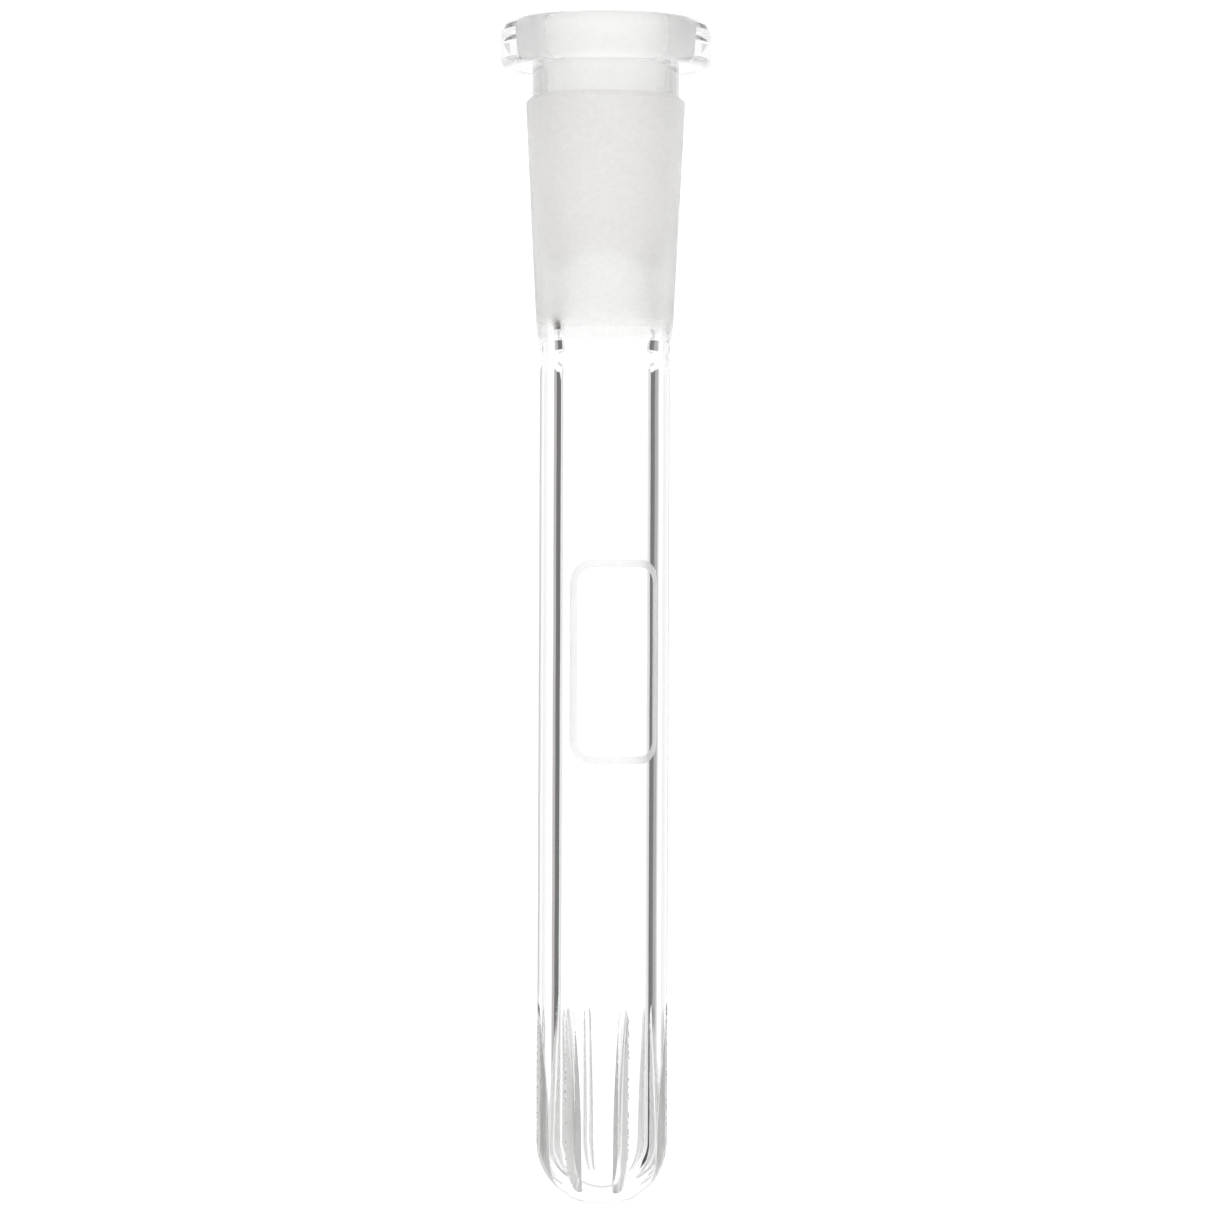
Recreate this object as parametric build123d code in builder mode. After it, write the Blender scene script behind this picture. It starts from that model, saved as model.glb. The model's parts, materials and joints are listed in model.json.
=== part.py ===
from build123d import *
import os
from math import cos, hypot, radians, sin, sqrt

# Glass diffuser stem: a tube that hangs by a ground cone in the neck of a vessel.
# From the top down it has a flat rim flange, a clear neck, a double ground joint
# (cone outside, socket inside), the flame seal under the joint, a thick-walled stem
# and a closed round tip that is sawn open by slots.
#
# The glassworker makes each of these as a piece of its own and fuses it to the next.
# The solids follow those pieces, and they meet face to face.
#
# Millimetres. +Z is up, towards the rim. The origin is the centre of the ground
# cone's wide end, which is the gauge plane of the joint.

# Ground joints, both to the 1:10 standard: 1 mm of diameter lost in 10 mm of length
TAPER = 1 / 10
cone_wide_r = 18.8 / 2
cone_length = 26.8
cone_shoulder = 0.65  # height of the bevel above the cone's wide end
socket_wide_r = 14.5 / 2
socket_length = 27.6
socket_mouth_chamfer = 0.35
sleeve_wall = 0.8  # wall of the inner socket piece

# Rim flange and neck
flange_r = 12.45
flange_bottom_z = 4.0
flange_top_z = 9.55
flange_top_round = 1.5
flange_bottom_round = 1.1
neck_r = 8.7

# Stem and flame seal
stem_r = 15.5 / 2
stem_wall = 2.45
throat_depth = 1.2  # the socket's foot narrows to the stem's bore in this height
seal_shoulder = 1.9  # height in which the joint's foot runs into the stem
seal_length = 5.2
seal_pinch = 0.18  # how far the bore narrows where the two pieces were fused

# Tip and its saw cuts
stem_end_z = -104.0
dome_centre_z = -122.6
near_slots = (-164.0, -118.5, -71.0, -8.5)  # degrees from +X, set by hand
far_slots = (26.0, 66.0, 109.0, 153.0)
far_slot_drop = 0.8  # the slots at the back start this much lower
slot_top_z = -106.3
slot_foot_angle = 43.0  # where a cut ends on the dome, in degrees from its pole
blade_r = 60.0
blade_kerf = 1.2
blade_edge_round = 0.5

# Sizes that follow from the ones above
bore_r = stem_r - stem_wall
cone_narrow_r = cone_wide_r - cone_length * TAPER / 2
socket_foot_z = flange_top_z - socket_length
throat_foot_z = socket_foot_z - throat_depth
seal_foot_z = -cone_length - seal_length


def socket_r(z):
    """Radius of the ground socket's wall at height z."""
    return socket_wide_r - (flange_top_z - z) * TAPER / 2


def sleeve_r(z):
    """Radius of the socket piece's outside at height z."""
    return socket_r(z) + sleeve_wall


# Rim flange: the thick flat-topped ring at the mouth
with BuildPart() as rim_flange:
    with BuildSketch(Plane.XZ):
        with BuildLine():
            Polyline(
                (sleeve_r(flange_top_z), flange_top_z),
                (flange_r, flange_top_z),
                (flange_r, flange_bottom_z),
                (sleeve_r(flange_bottom_z), flange_bottom_z),
                close=True,
            )
        make_face()
    revolve(axis=Axis.Z)
    outer_rings = rim_flange.edges().filter_by(GeomType.CIRCLE).group_by(SortBy.RADIUS)[-1]
    fillet(outer_rings.sort_by(Axis.Z)[-1], flange_top_round)
    outer_rings = rim_flange.edges().filter_by(GeomType.CIRCLE).group_by(SortBy.RADIUS)[-1]
    fillet(outer_rings.sort_by(Axis.Z)[0], flange_bottom_round)

# Neck: the clear waist between the flange and the ground cone
with BuildPart() as neck_collar:
    with BuildSketch(Plane.XZ):
        with BuildLine():
            Polyline(
                (sleeve_r(flange_bottom_z), flange_bottom_z),
                (neck_r, flange_bottom_z),
                (neck_r, cone_shoulder),
                (sleeve_r(cone_shoulder), cone_shoulder),
                close=True,
            )
        make_face()
    revolve(axis=Axis.Z)

# Ground socket: the inner piece, ground on its inside, that takes the next joint
with BuildPart() as ground_socket:
    with BuildSketch(Plane.XZ):
        with BuildLine():
            Polyline(
                (socket_wide_r + socket_mouth_chamfer, flange_top_z),
                (sleeve_r(flange_top_z), flange_top_z),
                (sleeve_r(socket_foot_z), socket_foot_z),
                (socket_r(socket_foot_z), socket_foot_z),
                (
                    socket_r(flange_top_z - socket_mouth_chamfer),
                    flange_top_z - socket_mouth_chamfer,
                ),
                close=True,
            )
        make_face()
    revolve(axis=Axis.Z)

# Ground cone: the outer piece, ground on its outside, with the throat under the socket
with BuildPart() as ground_cone:
    with BuildSketch(Plane.XZ):
        with BuildLine():
            Polyline(
                (socket_r(socket_foot_z), socket_foot_z),
                (sleeve_r(socket_foot_z), socket_foot_z),
                (sleeve_r(cone_shoulder), cone_shoulder),
                (neck_r, cone_shoulder),
                (cone_wide_r, 0),
                (cone_narrow_r, -cone_length),
                (bore_r, -cone_length),
                (bore_r, throat_foot_z),
            )
            Spline(
                (bore_r, throat_foot_z),
                (socket_r(socket_foot_z), socket_foot_z),
                tangents=((0, 1), (0, 1)),
            )
        make_face()
    revolve(axis=Axis.Z)

# Flame seal: where the joint's foot runs into the stem, with a slight pinch in the bore
with BuildPart() as flame_seal:
    with BuildSketch(Plane.XZ):
        with BuildLine():
            Line((bore_r, -cone_length), (cone_narrow_r, -cone_length))
            Spline(
                (cone_narrow_r, -cone_length),
                (stem_r, -cone_length - seal_shoulder),
                tangents=((0, -1), (0, -1)),
            )
            Polyline(
                (stem_r, -cone_length - seal_shoulder),
                (stem_r, seal_foot_z),
                (bore_r, seal_foot_z),
            )
            ThreePointArc(
                (bore_r, seal_foot_z),
                (bore_r - seal_pinch, (seal_foot_z - cone_length) / 2),
                (bore_r, -cone_length),
            )
        make_face()
    revolve(axis=Axis.Z)

# Stem: the straight thick-walled tube
with BuildPart() as stem_tube:
    with BuildSketch(Plane.XY.offset(stem_end_z)):
        Circle(stem_r)
        Circle(bore_r, mode=Mode.SUBTRACT)
    extrude(amount=seal_foot_z - stem_end_z)

# Saw blade: the disc that cuts one slot, standing in the plane of +X. Its edge passes
# through the slot's top on the tube and the slot's foot on the dome.
foot_r = stem_r * sin(radians(slot_foot_angle))
foot_z = dome_centre_z - stem_r * cos(radians(slot_foot_angle))
chord_r, chord_z = stem_r - foot_r, slot_top_z - foot_z
chord = hypot(chord_r, chord_z)
reach = sqrt(blade_r**2 - (chord / 2) ** 2)
blade_centre_r = (stem_r + foot_r) / 2 + reach * chord_z / chord
blade_centre_z = (slot_top_z + foot_z) / 2 - reach * chord_r / chord

with BuildPart() as saw_blade:
    with BuildSketch(Plane.XZ):
        with Locations((blade_centre_r, blade_centre_z)):
            Circle(blade_r)
    extrude(amount=blade_kerf / 2, both=True)
    fillet(saw_blade.edges().filter_by(GeomType.CIRCLE), blade_edge_round)

# Diffuser tip: the tube's closed round end, cut open by the slots
with BuildPart() as diffuser_tip:
    with BuildSketch(Plane.XZ):
        with BuildLine():
            Polyline(
                (bore_r, dome_centre_z),
                (bore_r, stem_end_z),
                (stem_r, stem_end_z),
                (stem_r, dome_centre_z),
            )
            CenterArc((0, dome_centre_z), stem_r, 0, -90)
            Line((0, dome_centre_z - stem_r), (0, dome_centre_z - bore_r))
            CenterArc((0, dome_centre_z), bore_r, -90, 90)
        make_face()
    revolve(axis=Axis.Z)
    near_cuts = [Location((0, 0, 0), (0, 0, angle)) for angle in near_slots]
    far_cuts = [Location((0, 0, -far_slot_drop), (0, 0, angle)) for angle in far_slots]
    with Locations(*near_cuts, *far_cuts):
        add(saw_blade.part, mode=Mode.SUBTRACT)

pieces = {
    "rim_flange": rim_flange,
    "neck_collar": neck_collar,
    "ground_socket": ground_socket,
    "ground_cone": ground_cone,
    "flame_seal": flame_seal,
    "stem_tube": stem_tube,
    "diffuser_tip": diffuser_tip,
}
os.makedirs("parts", exist_ok=True)
for name, piece in pieces.items():
    piece.part.label = name
    export_step(piece.part, f"parts/{name}.step")
    print(f"{name}: {piece.part.volume:.1f} mm3")
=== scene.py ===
import json
import random
from math import cos, exp, hypot, pi, radians, sin, sqrt, tan

import bmesh
import bpy
from mathutils import Matrix, Vector, noise


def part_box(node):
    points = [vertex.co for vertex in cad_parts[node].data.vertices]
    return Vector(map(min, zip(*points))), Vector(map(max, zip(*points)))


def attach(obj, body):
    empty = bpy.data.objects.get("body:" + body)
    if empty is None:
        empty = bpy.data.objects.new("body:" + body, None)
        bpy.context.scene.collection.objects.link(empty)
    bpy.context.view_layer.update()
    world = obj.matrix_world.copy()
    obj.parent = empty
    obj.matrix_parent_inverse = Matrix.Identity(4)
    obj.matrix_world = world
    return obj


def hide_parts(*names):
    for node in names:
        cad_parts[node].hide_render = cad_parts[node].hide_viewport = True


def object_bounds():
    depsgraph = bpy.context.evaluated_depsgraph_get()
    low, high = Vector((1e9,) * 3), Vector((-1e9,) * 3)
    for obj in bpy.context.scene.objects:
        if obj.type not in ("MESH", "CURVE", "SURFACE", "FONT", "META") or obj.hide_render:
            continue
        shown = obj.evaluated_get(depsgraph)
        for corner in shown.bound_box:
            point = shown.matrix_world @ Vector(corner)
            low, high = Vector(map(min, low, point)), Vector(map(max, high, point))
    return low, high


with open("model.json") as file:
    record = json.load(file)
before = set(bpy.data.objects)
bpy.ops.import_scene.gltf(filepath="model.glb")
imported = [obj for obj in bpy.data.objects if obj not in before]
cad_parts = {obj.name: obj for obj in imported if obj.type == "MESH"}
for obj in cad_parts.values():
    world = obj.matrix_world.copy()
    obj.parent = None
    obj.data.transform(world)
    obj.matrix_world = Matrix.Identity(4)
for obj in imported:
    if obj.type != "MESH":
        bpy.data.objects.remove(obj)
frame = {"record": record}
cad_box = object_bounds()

# The look of a glass diffuser stem: clear heavy-wall glass with two matt ground joints,
# a flame seal, an etched marking frame and eight saw cuts in its round tip.
# Metres, in the CAD frame: +Z up, the axis on Z, the origin at the cone's wide end.
MM = 0.001

# ---------------------------------------------------------------- places, from the CAD
mounts = {m["name"]: m for m in frame["record"]["mounts"]}


def low_z(node):
    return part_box(node)[0].z


def high_z(node):
    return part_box(node)[1].z


def widest(node):
    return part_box(node)[1].x


rim_r = widest("rim_flange")
rim_top = high_z("rim_flange")
rim_bottom = low_z("rim_flange")
neck_r = widest("neck_collar")
cone_top = high_z("ground_cone")
cone_r = widest("ground_cone")
cone_foot = low_z("ground_cone")
cone_foot_r = widest("flame_seal")
socket_foot = low_z("ground_socket")
seal_foot = low_z("flame_seal")
stem_r = widest("stem_tube")
stem_foot = low_z("stem_tube")
tip_end = low_z("diffuser_tip")
dome_z = tip_end + stem_r
bore_r = mounts["stem_bore"]["dims"]["r_mm"] * MM

# Small shapes that the boxes don't tell, as in the CAD
TAPER = 0.05  # radius lost per unit of height, on both joints
SOCKET_R = 7.25 * MM
SLEEVE_WALL = 0.8 * MM
MOUTH_CHAMFER = 0.35 * MM
RIM_TOP_ROUND = 1.5 * MM
RIM_BOTTOM_ROUND = 1.1 * MM
THROAT = 1.2 * MM
SEAL_SHOULDER = 1.9 * MM
SEAL_PINCH = 0.18 * MM
SEAL_PINCH_SPAN = 1.2 * MM

# Saw cuts, as in the CAD
NEAR_SLOTS = (-164.0, -118.5, -71.0, -8.5)
FAR_SLOTS = (26.0, 66.0, 109.0, 153.0)
FAR_SLOT_DROP = 0.8 * MM
SLOT_TOP = -106.3 * MM
SLOT_FOOT_ANGLE = radians(43)
BLADE_R = 60 * MM
KERF = 1.2 * MM
BLADE_ROUND = 0.5 * MM
EDGE_STEPS = 4

# What makes the glass look hand-made
BORE_OFFSET = 0.15 * MM  # the bore lies this far towards +X of the outside's axis
BORE_WAVE = 0.014 * MM  # and its wall waves by this much
WAVE_LENGTH = 9 * MM
BORE_ZONE = 1.04  # a point within this many bore radii of the axis counts as bore wall
SEAL_UNEVEN = 0.4

# Mesh fineness
AROUND = 240
ARC_STEPS = 10
RING_STEP = 1.2 * MM
SHARP_ANGLE = radians(28)


def socket_r(z):
    return SOCKET_R - (rim_top - z) * TAPER


def sleeve_r(z):
    return socket_r(z) + SLEEVE_WALL


# ---------------------------------------------------------------- profiles
# A profile is a closed loop of (radius, height, finish) points with the glass on its
# left. The finish is that of the surface from this point to the next.
CLEAR, GROUND, WELD, SAWN, ETCHED, SATIN = 0, 1, 2, 3, 4, 5


def straight(start, end, steps, finish):
    """Points from start up to, but not including, end."""
    (r0, z0), (r1, z1) = start, end
    return [
        (r0 + (r1 - r0) * i / steps, z0 + (z1 - z0) * i / steps, finish)
        for i in range(steps)
    ]


def arc(centre, radius, start, stop, steps, finish):
    """Points round an arc, in degrees from the outward direction, without its last."""
    turns = [radians(start + (stop - start) * i / steps) for i in range(steps)]
    return [(centre[0] + radius * cos(a), centre[1] + radius * sin(a), finish) for a in turns]


def ease(start, end, steps, finish):
    """Points of an S-shaped run that starts and ends upright, without its last."""
    (r0, z0), (r1, z1) = start, end
    points = []
    for i in range(steps):
        t = i / steps
        points.append((r0 + (r1 - r0) * t * t * (3 - 2 * t), z0 + (z1 - z0) * t, finish))
    return points


def rim_profile():
    inner_top, inner_foot = sleeve_r(rim_top), sleeve_r(rim_bottom)
    low = (rim_r - RIM_BOTTOM_ROUND, rim_bottom + RIM_BOTTOM_ROUND)
    top = (rim_r - RIM_TOP_ROUND, rim_top - RIM_TOP_ROUND)
    return (
        [(inner_foot, rim_bottom, WELD), (neck_r, rim_bottom, CLEAR)]
        + arc(low, RIM_BOTTOM_ROUND, -90, 0, ARC_STEPS, CLEAR)
        + [(rim_r, low[1], CLEAR)]
        + arc(top, RIM_TOP_ROUND, 0, 90, ARC_STEPS, CLEAR)
        + [(top[0], rim_top, SATIN), (inner_top, rim_top, WELD)]
    )


def neck_profile():
    return [
        (sleeve_r(cone_top), cone_top, WELD),
        (neck_r, cone_top, CLEAR),
        (neck_r, rim_bottom, WELD),
        (sleeve_r(rim_bottom), rim_bottom, WELD),
    ]


def socket_profile():
    chamfer_foot = rim_top - MOUTH_CHAMFER
    return [
        (socket_r(socket_foot), socket_foot, WELD),
        (sleeve_r(socket_foot), socket_foot, WELD),
        (sleeve_r(rim_top), rim_top, CLEAR),
        (SOCKET_R + MOUTH_CHAMFER, rim_top, GROUND),
        (socket_r(chamfer_foot), chamfer_foot, GROUND),
    ]


def cone_profile():
    throat_foot = socket_foot - THROAT
    bore_steps = round((throat_foot - cone_foot) / RING_STEP)
    throat = ease((bore_r, throat_foot), (socket_r(socket_foot), socket_foot), ARC_STEPS, CLEAR)
    return (
        [
            (bore_r, cone_foot, WELD),
            (cone_foot_r, cone_foot, GROUND),
            (cone_r, 0, GROUND),
            (neck_r, cone_top, WELD),
            (sleeve_r(cone_top), cone_top, WELD),
            (sleeve_r(socket_foot), socket_foot, WELD),
            (socket_r(socket_foot), socket_foot, CLEAR),
        ]
        + throat[:0:-1]
        + straight((bore_r, throat_foot), (bore_r, cone_foot), bore_steps, CLEAR)
    )


def seal_profile():
    shoulder_foot = cone_foot - SEAL_SHOULDER
    steps = 2 * ARC_STEPS
    return (
        [(bore_r, seal_foot, WELD), (stem_r, seal_foot, CLEAR)]
        + ease((stem_r, shoulder_foot), (cone_foot_r, cone_foot), ARC_STEPS, CLEAR)
        + [(cone_foot_r, cone_foot, WELD)]
        + straight((bore_r, cone_foot), (bore_r, seal_foot), steps, CLEAR)
    )


def stem_profile():
    steps = round((seal_foot - stem_foot) / RING_STEP)
    return (
        [(bore_r, stem_foot, WELD)]
        + straight((stem_r, stem_foot), (stem_r, seal_foot), steps, CLEAR)
        + [(stem_r, seal_foot, WELD)]
        + straight((bore_r, seal_foot), (bore_r, stem_foot), 2 * steps, CLEAR)
    )


def tip_profile():
    dome_steps = 4 * ARC_STEPS
    wall_steps = round((stem_foot - dome_z) / RING_STEP)
    return (
        arc((0, dome_z), stem_r, -90, 0, dome_steps, CLEAR)
        + straight((stem_r, dome_z), (stem_r, stem_foot), wall_steps, CLEAR)
        + [(stem_r, stem_foot, WELD)]
        + straight((bore_r, stem_foot), (bore_r, dome_z), wall_steps, CLEAR)
        + arc((0, dome_z), bore_r, 0, -90, dome_steps, CLEAR)
        + [(0, dome_z - bore_r, CLEAR)]
    )


# ---------------------------------------------------------------- hand-made shape
def step_up(value, start, end):
    """0 up to start and 1 from end on, smooth between."""
    t = min(1, max(0, (value - start) / (end - start)))
    return t * t * (3 - 2 * t)


def bore_change(z, angle):
    """How much wider than drawn the bore is: it waves, and narrows at the seal."""
    where = Vector((cos(angle) * 0.6, sin(angle) * 0.6, z / WAVE_LENGTH))
    wave = BORE_WAVE * noise.noise(where)
    seal_middle = (cone_foot + seal_foot) / 2
    from_seal = (z - seal_middle) / SEAL_PINCH_SPAN
    uneven = 1 + SEAL_UNEVEN * noise.noise(Vector((2 * cos(angle), 2 * sin(angle), 3.7)))
    return wave - SEAL_PINCH * uneven * exp(-from_seal * from_seal)


def settle(r, z, angle):
    """Where a point of the drawn shape lies on the hand-made glass."""
    below_joint = 1 - step_up(z, cone_foot, cone_foot + THROAT)
    in_bore = below_joint * step_up(stem_r - r, 0, stem_r - BORE_ZONE * bore_r)
    if in_bore:
        r_share = min(1, r / bore_r)
        r += in_bore * r_share * bore_change(z, angle)
    return (r * cos(angle) + BORE_OFFSET * in_bore, r * sin(angle), z)


# ---------------------------------------------------------------- meshes
def link(name, mesh, materials):
    piece = bpy.data.objects.new(name, mesh)
    bpy.context.scene.collection.objects.link(piece)
    for material in materials:
        mesh.materials.append(material)
    return piece


def sharpen(mesh):
    mesh.polygons.foreach_set("use_smooth", [True] * len(mesh.polygons))
    mesh.set_sharp_from_angle(angle=SHARP_ANGLE)


def turned(name, profile, materials, place=settle):
    """A solid of revolution round Z. A point on the axis becomes one vertex."""
    vertices, rings = [], []
    for r, z, _ in profile:
        if r < 1e-7:
            rings.append([len(vertices)] * AROUND)
            vertices.append(place(0, z, 0))
            continue
        rings.append(list(range(len(vertices), len(vertices) + AROUND)))
        vertices += [place(r, z, 2 * pi * k / AROUND) for k in range(AROUND)]
    faces, finishes = [], []
    for i, (_, _, finish) in enumerate(profile):
        ring, above = rings[i], rings[(i + 1) % len(profile)]
        if ring[0] == ring[1] and above[0] == above[1]:
            continue
        for k in range(AROUND):
            n = (k + 1) % AROUND
            faces.append(list(dict.fromkeys([ring[k], ring[n], above[n], above[k]])))
            finishes.append(finish)
    mesh = bpy.data.meshes.new(name)
    mesh.from_pydata(vertices, [], faces)
    mesh.polygons.foreach_set("material_index", finishes)
    sharpen(mesh)
    return link(name, mesh, materials)


def face_outward(mesh):
    shape = bmesh.new()
    shape.from_mesh(mesh)
    bmesh.ops.recalc_face_normals(shape, faces=shape.faces)
    shape.to_mesh(mesh)
    shape.free()


def cut(piece, tool):
    """Takes tool out of piece for good, and removes the tool."""
    modifier = piece.modifiers.new("cut", "BOOLEAN")
    modifier.operation = "DIFFERENCE"
    modifier.object = tool
    modifier.solver = "EXACT"
    modifier.material_mode = "TRANSFER"
    bpy.context.view_layer.update()
    graph = bpy.context.evaluated_depsgraph_get()
    mesh = bpy.data.meshes.new_from_object(piece.evaluated_get(graph))
    piece.modifiers.clear()
    piece.data = mesh
    sharpen(mesh)
    bpy.data.objects.remove(tool)


def joined(name, meshes, materials):
    """One tool made of many separate meshes."""
    whole = bmesh.new()
    for mesh in meshes:
        whole.from_mesh(mesh)
    mesh = bpy.data.meshes.new(name)
    whole.to_mesh(mesh)
    whole.free()
    return link(name, mesh, materials)


def slots():
    """The angle and the drop of each saw cut."""
    near = [(radians(angle), 0) for angle in NEAR_SLOTS]
    far = [(radians(angle), FAR_SLOT_DROP) for angle in FAR_SLOTS]
    return near + far


def saw_blade():
    """The disc of one cut, standing in the plane of +X, with a rounded edge."""
    foot = (stem_r * sin(SLOT_FOOT_ANGLE), dome_z - stem_r * cos(SLOT_FOOT_ANGLE))
    run, rise = stem_r - foot[0], SLOT_TOP - foot[1]
    chord = hypot(run, rise)
    reach = sqrt(BLADE_R**2 - (chord / 2) ** 2)
    centre = (
        (stem_r + foot[0]) / 2 + reach * rise / chord,
        (SLOT_TOP + foot[1]) / 2 - reach * run / chord,
    )
    half, r = KERF / 2, BLADE_ROUND
    edge = (
        [(0, -half, SAWN)]
        + arc((BLADE_R - r, -half + r), r, -90, 0, EDGE_STEPS, SATIN)
        + arc((BLADE_R - r, half - r), r, 0, 90, EDGE_STEPS, SATIN)
        + [(BLADE_R - r, half, SAWN), (0, half, SAWN)]
    )
    blade = turned("saw_blade", edge, [], place=lambda r, z, a: (r * cos(a), r * sin(a), z))
    blade.data.transform(Matrix.Rotation(pi / 2, 4, "X"))
    blade.data.transform(Matrix.Translation((centre[0], 0, centre[1])))
    return blade


def saw_slots(piece, materials):
    blade = saw_blade()
    blades = []
    for angle, drop in slots():
        mesh = blade.data.copy()
        mesh.transform(Matrix.Translation((0, 0, -drop)) @ Matrix.Rotation(angle, 4, "Z"))
        blades.append(mesh)
    cut(piece, joined("blades", blades, materials))
    bpy.data.objects.remove(blade)


# The saw leaves a slot's edges broken: a thin uneven groove along each
WEAR_STEP = 0.22 * MM
WEAR_SIZE = (0.03 * MM, 0.06 * MM)
BREAK_SIZE = (0.12 * MM, 0.2 * MM)
BREAK_SHARE = 0.3
WEAR_START = 1.2 * MM  # below the slot's top
WEAR_END = radians(46)  # on the dome, from its pole
WEAR_SIDES = 8
WEAR_SEED = 11


def edge_path(across, drop):
    """Points (out, up) down one edge of a slot, with the tangent's slope at each."""
    shell = sqrt(stem_r**2 - across**2)
    upright = SLOT_TOP - drop - WEAR_START - dome_z
    steps = round(upright / WEAR_STEP)
    points = [(shell, dome_z + upright * (1 - i / steps), 0) for i in range(steps)]
    turn = pi / 2
    while turn > WEAR_END:
        points.append((shell * sin(turn), dome_z - shell * cos(turn), pi / 2 - turn))
        turn -= WEAR_STEP / shell
    return points


def edge_wear(rng, angle, side, drop):
    """An uneven thin rod along one edge of a slot."""
    across = side * KERF / 2
    path = edge_path(across, drop)
    last = len(path) - 1
    vertices = []
    for i, (out, up, slope) in enumerate(path):
        inside = 0 < i < last
        size = rng.uniform(*(BREAK_SIZE if inside and rng.random() < BREAK_SHARE else WEAR_SIZE))
        for k in range(WEAR_SIDES):
            turn = 2 * pi * k / WEAR_SIDES
            aside, lift = across + size * cos(turn), size * sin(turn)
            vertices.append((out + lift * cos(slope), aside, up - lift * sin(slope)))
    faces = [range(WEAR_SIDES - 1, -1, -1), range(last * WEAR_SIDES, (last + 1) * WEAR_SIDES)]
    for i in range(last):
        for k in range(WEAR_SIDES):
            n = (k + 1) % WEAR_SIDES
            ring, following = i * WEAR_SIDES, (i + 1) * WEAR_SIDES
            faces.append((ring + k, ring + n, following + n, following + k))
    mesh = bpy.data.meshes.new("wear")
    mesh.from_pydata(vertices, [], [list(face) for face in faces])
    mesh.transform(Matrix.Rotation(angle, 4, "Z"))
    face_outward(mesh)
    return mesh


def wear_slots(piece, materials):
    rng = random.Random(WEAR_SEED)
    rods = [edge_wear(rng, angle, side, drop) for angle, drop in slots() for side in (-1, 1)]
    cut(piece, joined("wear", rods, materials))


# The marking frame: a plain rounded outline etched on the stem
MARK_ANGLE = radians(-77.5)
MARK_Z = -66.0 * MM
MARK_HALF_WIDTH = 5.3 * MM
MARK_HALF_HEIGHT = 11.5 * MM
MARK_CORNER = 2.4 * MM
MARK_LINE = 0.9 * MM
MARK_DEPTH = 0.04 * MM
MARK_PROUD = 0.4 * MM  # how far the tool that etches it stands out of the stem
MARK_STEP = 0.35 * MM
MARK_CORNER_STEPS = 12


def rounded_outline(half_width, half_height, corner):
    """Evenly spaced points (across, up) round a rectangle with round corners."""
    points = []
    centres = ((1, 1, 0), (-1, 1, 90), (-1, -1, 180), (1, -1, 270))
    for side, end, start in centres:
        middle = (side * (half_width - corner), end * (half_height - corner))
        turn = arc(middle, corner, start, start + 90, MARK_CORNER_STEPS, ETCHED)
        points += [(across, up) for across, up, _ in turn]
        last = (
            middle[0] + corner * cos(radians(start + 90)),
            middle[1] + corner * sin(radians(start + 90)),
        )
        upright = start in (90, 270)
        length = 2 * ((half_height if upright else half_width) - corner)
        heading = radians(start + 180)
        steps = round(length / MARK_STEP)
        for i in range(steps):
            gone = length * i / steps
            points.append((last[0] + gone * cos(heading), last[1] + gone * sin(heading)))
    return points


def etch_mark(piece, etched):
    half = MARK_LINE / 2
    loops = []
    for grow in (half, -half):
        halves = (MARK_HALF_WIDTH + grow, MARK_HALF_HEIGHT + grow)
        outline = rounded_outline(*halves, MARK_CORNER + grow)
        for r in (stem_r - MARK_DEPTH, stem_r + MARK_PROUD):
            turns = [(MARK_ANGLE + across / stem_r, MARK_Z + up) for across, up in outline]
            loops.append([(r * cos(a), r * sin(a), z) for a, z in turns])
    outer_deep, outer_proud, inner_deep, inner_proud = loops
    order = [outer_deep, outer_proud, inner_proud, inner_deep]
    count = len(outer_deep)
    vertices = [point for loop in order for point in loop]
    faces = []
    for i in range(4):
        this, following = i * count, (i + 1) % 4 * count
        for k in range(count):
            n = (k + 1) % count
            faces.append([this + k, this + n, following + n, following + k])
    mesh = bpy.data.meshes.new("mark_tool")
    mesh.from_pydata(vertices, [], faces)
    face_outward(mesh)
    cut(piece, link("mark_tool", mesh, [etched]))


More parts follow.
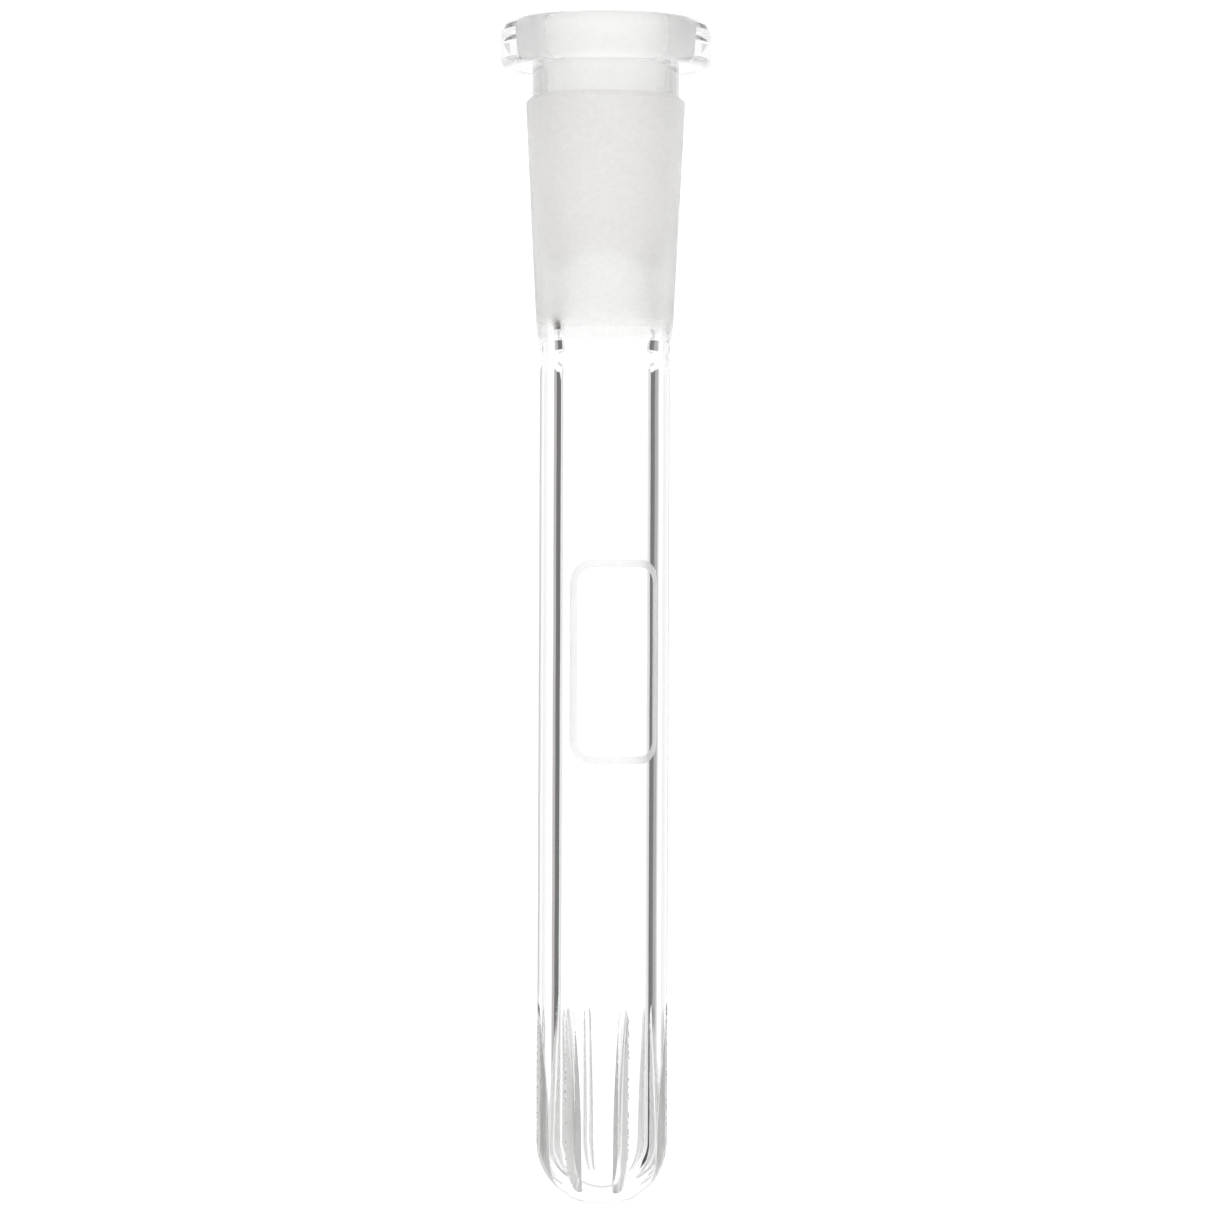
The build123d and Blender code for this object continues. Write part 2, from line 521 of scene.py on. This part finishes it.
# ---------------------------------------------------------------- materials
class Look:
    """A Principled material with short calls for the nodes that its detail needs."""

    def __init__(self, name):
        self.material = bpy.data.materials.new(name)
        self.material.use_nodes = True
        self.tree = self.material.node_tree
        self.shader = self.tree.nodes["Principled BSDF"]
        self.place = self.tree.nodes.new("ShaderNodeTexCoord").outputs["Object"]

    def join(self, source, target):
        self.tree.links.new(source, target)

    def stretched(self, scale):
        """The object's own coordinates, stretched."""
        mapping = self.tree.nodes.new("ShaderNodeMapping")
        mapping.inputs["Scale"].default_value = scale
        self.join(self.place, mapping.inputs["Vector"])
        return mapping.outputs[0]

    def grain(self, scale, detail=2.0, stretch=(1, 1, 1)):
        """Noise, with scale in grains per metre."""
        texture = self.tree.nodes.new("ShaderNodeTexNoise")
        texture.inputs["Scale"].default_value = scale
        texture.inputs["Detail"].default_value = detail
        self.join(self.stretched(stretch), texture.inputs["Vector"])
        return texture.outputs["Fac"]

    def between(self, value, low, high, start=0.3, stop=0.7):
        """Takes value from start..stop to low..high."""
        ranged = self.tree.nodes.new("ShaderNodeMapRange")
        ranged.inputs["From Min"].default_value = start
        ranged.inputs["From Max"].default_value = stop
        ranged.inputs["To Min"].default_value = low
        ranged.inputs["To Max"].default_value = high
        self.join(value, ranged.inputs["Value"])
        return ranged.outputs[0]

    def height(self):
        """The height of the point, in metres."""
        parts = self.tree.nodes.new("ShaderNodeSeparateXYZ")
        self.join(self.place, parts.inputs[0])
        return parts.outputs["Z"]

    def mixed(self, share, value, other):
        """From value to the number other, as share goes from 0 to 1."""
        mix = self.tree.nodes.new("ShaderNodeMix")
        self.join(share, mix.inputs["Factor"])
        self.join(value, mix.inputs["A"])
        mix.inputs["B"].default_value = other
        return mix.outputs["Result"]

    def tint(self, value, low, high):
        """A colour between low and high."""
        mix = self.tree.nodes.new("ShaderNodeMix")
        mix.data_type = "RGBA"
        mix.inputs["A"].default_value = (*low, 1)
        mix.inputs["B"].default_value = (*high, 1)
        self.join(value, mix.inputs["Factor"])
        self.join(mix.outputs["Result"], self.shader.inputs["Base Color"])

    def swap_shader(self, shader):
        """Puts another shader node in the place of the Principled one."""
        self.join(shader.outputs[0], self.tree.nodes["Material Output"].inputs["Surface"])
        self.tree.nodes.remove(self.shader)

    def bumps(self, heights):
        """Bump from (height, distance) pairs, one over the other."""
        normal = None
        for height, distance in heights:
            bump = self.tree.nodes.new("ShaderNodeBump")
            bump.inputs["Distance"].default_value = distance
            self.join(height, bump.inputs["Height"])
            if normal:
                self.join(normal, bump.inputs["Normal"])
            normal = bump.outputs[0]
        self.join(normal, self.shader.inputs["Normal"])


GLASS_IOR = 1.473


def clear_glass():
    """Fire-polished glass: faint draw lines along the tube and a few dull smudges."""
    look = Look("clear_glass")
    look.shader.inputs["Transmission Weight"].default_value = 1.0
    look.shader.inputs["IOR"].default_value = GLASS_IOR
    smudge = look.grain(140, 3)
    look.tint(look.between(smudge, 0, 1), (0.99, 0.994, 0.992), (1, 1, 1))
    look.join(look.between(smudge, 0.0, 0.02, 0.5, 0.8), look.shader.inputs["Roughness"])
    draw_lines = look.grain(1100, 1, (1, 1, 0.012))
    look.bumps([(draw_lines, 0.0000008)])
    return look.material


def matt_glass(name, clear, dark, light, roughness, grains, fade=None):
    """Glass with a rough skin. A grain is (scale, detail, stretch, depth) of its bump.
    Fade is (height, height, roughness): where the matt skin ends, and what it ends in."""
    look = Look(name)
    look.shader.inputs["Transmission Weight"].default_value = clear
    look.shader.inputs["IOR"].default_value = GLASS_IOR
    speckle = look.grain(1800, 6)
    look.tint(look.between(speckle, 0, 1, 0.35, 0.65), dark, light)
    dull = look.between(look.grain(420, 4), *roughness)
    if fade:
        matt_from, polished_from, polished = fade
        polish = look.between(look.height(), 0, 1, matt_from, polished_from)
        dull = look.mixed(polish, dull, polished)
    look.join(dull, look.shader.inputs["Roughness"])
    bumps = [(look.grain(scale, detail, stretch), depth) for scale, detail, stretch, depth in grains]
    look.bumps(bumps)
    return look.material


def ground_glass(name, clear, dark, light, roughness, fade=None):
    """Evenly ground: a fine grain, and faint rings from the turning tool."""
    fine = (7000, 3, (1, 1, 1), 0.000006)
    rings = (2600, 2, (0.02, 0.02, 1), 0.000004)
    return matt_glass(name, clear, dark, light, roughness, [rings, fine], fade)


def socket_glass():
    dark, light = (0.92, 0.915, 0.905), (0.975, 0.97, 0.96)
    return ground_glass("ground_socket_glass", 0.96, dark, light, (0.62, 0.72))


def cone_glass():
    """The matt skin runs out at the cone's foot, where the seal's flame polished it."""
    dark, light = (0.855, 0.85, 0.84), (0.935, 0.93, 0.92)
    fade = (cone_foot + 2 * MM, cone_foot + 0.2 * MM, 0.12)
    return ground_glass("ground_cone_glass", 0.92, dark, light, (0.52, 0.62), fade)


def sawn_glass():
    """Left by the blade: coarser, with marks along the cut."""
    coarse = (4000, 3, (1, 1, 1), 0.00001)
    marks = (3200, 2, (1, 1, 0.05), 0.00001)
    dark, light = (0.95, 0.945, 0.935), (1, 0.995, 0.985)
    return matt_glass("sawn_glass", 0.5, dark, light, (0.8, 0.95), [marks, coarse])


def etched_glass():
    """Evenly roughened by the etch, with a very fine grain."""
    fine = (9000, 3, (1, 1, 1), 0.000004)
    return matt_glass("etched_glass", 0.9, (0.87,) * 3, (0.94,) * 3, (0.45, 0.6), [fine])


def satin_glass():
    """Lapped smooth but not polished: the rim's top, and where the blade's edge ran."""
    fine = (5000, 2, (1, 1, 1), 0.000001)
    return matt_glass("satin_glass", 1.0, (0.98,) * 3, (1,) * 3, (0.26, 0.38), [fine])


def weld():
    """Where two pieces are fused there is no surface: light passes unchanged."""
    look = Look("fused")
    look.swap_shader(look.tree.nodes.new("ShaderNodeBsdfTransparent"))
    return look.material


# ---------------------------------------------------------------- stage
def emitter(name, brightness):
    """A material that only gives light, of an (r, g, b) brightness."""
    look = Look(name)
    light = look.tree.nodes.new("ShaderNodeEmission")
    light.inputs["Color"].default_value = (*brightness, 1)
    look.swap_shader(light)
    return look.material


def panel(name, corners, material):
    mesh = bpy.data.meshes.new(name)
    mesh.from_pydata(corners, [], [list(range(len(corners)))])
    board = link(name, mesh, [material])
    return board


SENSOR = 36.0  # with the focal length, in the camera's own millimetres
FOCAL = 133.4
CLIP = (0.01, 30)
DISTANCE = 0.532
CAMERA_X = 0.41 * MM
CAMERA_Z = -59.6 * MM
CAMERA_ROLL = radians(0.24)


def make_camera():
    """Level, in front of the middle of the tube."""
    data = bpy.data.cameras.new("camera")
    data.sensor_width = SENSOR
    data.lens = FOCAL
    data.clip_start, data.clip_end = CLIP
    camera = bpy.data.objects.new("camera", data)
    camera.matrix_world = (
        Matrix.Translation((CAMERA_X, -DISTANCE, CAMERA_Z))
        @ Matrix.Rotation(pi / 2, 4, "X")
        @ Matrix.Rotation(CAMERA_ROLL, 4, "Z")
    )
    bpy.context.scene.collection.objects.link(camera)
    bpy.context.scene.camera = camera
    return camera


# The studio, as the glass sees it. It hangs on the camera, so every view is lit alike.
# A board is (side, from, to, foot, top, brightness): degrees off the view axis as seen
# from the tube, and metres above the camera.
BACK_LIGHT = 1.1
ROOM = (1, 1, 1)
CARD_FOOT, CARD_TOP = -0.16, 0.052
BLACK_CARD_FOOT, BLACK_CARD_TOP = -0.32, -0.095
RIM_CARD_FOOT, RIM_CARD_TOP = 0.088, 0.112
SOFT_BOX_TOP = 0.6
BOARDS = (
    (-1, 40, 50, CARD_FOOT, CARD_TOP, (0.48, 0.45, 0.44)),
    (-1, 50, 65, BLACK_CARD_TOP, CARD_TOP, (0.09, 0.09, 0.09)),
    (-1, 50, 65, CARD_FOOT, BLACK_CARD_TOP, (0.01, 0.01, 0.01)),
    (1, 31, 37, CARD_FOOT, CARD_TOP, (0.68, 0.68, 0.68)),
    (1, 37, 49, CARD_FOOT, CARD_TOP, (0.38, 0.37, 0.37)),
    (1, 49, 65, BLACK_CARD_TOP, CARD_TOP, (0.11, 0.11, 0.11)),
    (1, 52, 65, BLACK_CARD_FOOT, BLACK_CARD_TOP, (0.01, 0.01, 0.01)),
    (-1, 52, 82, RIM_CARD_FOOT, RIM_CARD_TOP, (0.64, 0.64, 0.64)),
    (1, 52, 82, RIM_CARD_FOOT, RIM_CARD_TOP, (0.64, 0.64, 0.64)),
    (-1, 37, 80, RIM_CARD_TOP, SOFT_BOX_TOP, (1, 1, 1)),
    (1, 37, 80, RIM_CARD_TOP, SOFT_BOX_TOP, (1, 1, 1)),
)
BOARD_GAP = 0.2
LOW_CARD = (0.72, 0.72, 0.72)  # lies under the tube, out of the camera's sight
LOW_CARD_HALF = 0.12
LOW_CARD_HEIGHT = -0.31
LOW_CARD_REACH = (0.095, 0.13)
SCREEN_GAP = 0.6
SCREEN_SPAN = radians(36)
SCREEN_HEIGHT = 1.5
FLOOR_DROP = 0.25
FLOOR_REACH = 3


def upright_panel(name, gap, left, right, foot, top, material, camera):
    """A board that faces the camera, gap behind the tube's axis."""
    depth = -(DISTANCE + gap)
    corners = [(left, foot, depth), (right, foot, depth), (right, top, depth), (left, top, depth)]
    board = panel(name, corners, material)
    board.parent = camera


def lying_panel(name, half, height, near, far, material, camera):
    """A board that lies under the tube, from near to far behind its axis."""
    near, far = -(DISTANCE + near), -(DISTANCE + far)
    corners = [(-half, height, near), (half, height, near), (half, height, far), (-half, height, far)]
    board = panel(name, corners, material)
    board.parent = camera


def make_stage(camera):
    world = bpy.data.worlds.new("studio")
    bpy.context.scene.world = world
    world.use_nodes = True
    world.node_tree.nodes["Background"].inputs["Color"].default_value = (*ROOM, 1)
    back_light = emitter("back_light", (BACK_LIGHT,) * 3)
    half = SCREEN_GAP * tan(SCREEN_SPAN)
    edges = (-half, half, -SCREEN_HEIGHT, SCREEN_HEIGHT)
    upright_panel("back_screen", SCREEN_GAP, *edges, back_light, camera)
    for side, start, stop, foot, top, brightness in BOARDS:
        inner = side * BOARD_GAP * tan(radians(start))
        outer = side * BOARD_GAP * tan(radians(stop))
        light = emitter("board", brightness)
        upright_panel("board", BOARD_GAP, inner, outer, foot, top, light, camera)
    low_card = emitter("low_card", LOW_CARD)
    lying_panel("low_card", LOW_CARD_HALF, LOW_CARD_HEIGHT, *LOW_CARD_REACH, low_card, camera)
    floor_z = cad_box[0].z - FLOOR_DROP
    sides = ((-1, -1), (1, -1), (1, 1), (-1, 1))
    corners = [(x * FLOOR_REACH, y * FLOOR_REACH, floor_z) for x, y in sides]
    panel("floor", corners, emitter("white_floor", (BACK_LIGHT,) * 3))


# ---------------------------------------------------------------- making
camera = make_camera()
make_stage(camera)

cone_matt = cone_glass()
finishes = [clear_glass(), socket_glass(), weld(), sawn_glass(), etched_glass(), satin_glass()]
profiles = {
    "rim_flange": rim_profile(),
    "neck_collar": neck_profile(),
    "ground_socket": socket_profile(),
    "ground_cone": cone_profile(),
    "flame_seal": seal_profile(),
    "stem_tube": stem_profile(),
    "diffuser_tip": tip_profile(),
}
for node, profile in profiles.items():
    piece = turned(node + "_glass", profile, finishes)
    if node == "ground_cone":
        piece.data.materials[GROUND] = cone_matt
    if node == "stem_tube":
        etch_mark(piece, finishes[ETCHED])
    if node == "diffuser_tip":
        saw_slots(piece, finishes)
        wear_slots(piece, finishes)
    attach(piece, "root")
    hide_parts(node)

scene = bpy.context.scene
scene.view_settings.view_transform = "Standard"
scene.cycles.max_bounces = 32
scene.cycles.transmission_bounces = 32
scene.cycles.glossy_bounces = 32
scene.cycles.diffuse_bounces = 32
scene.cycles.transparent_max_bounces = 64
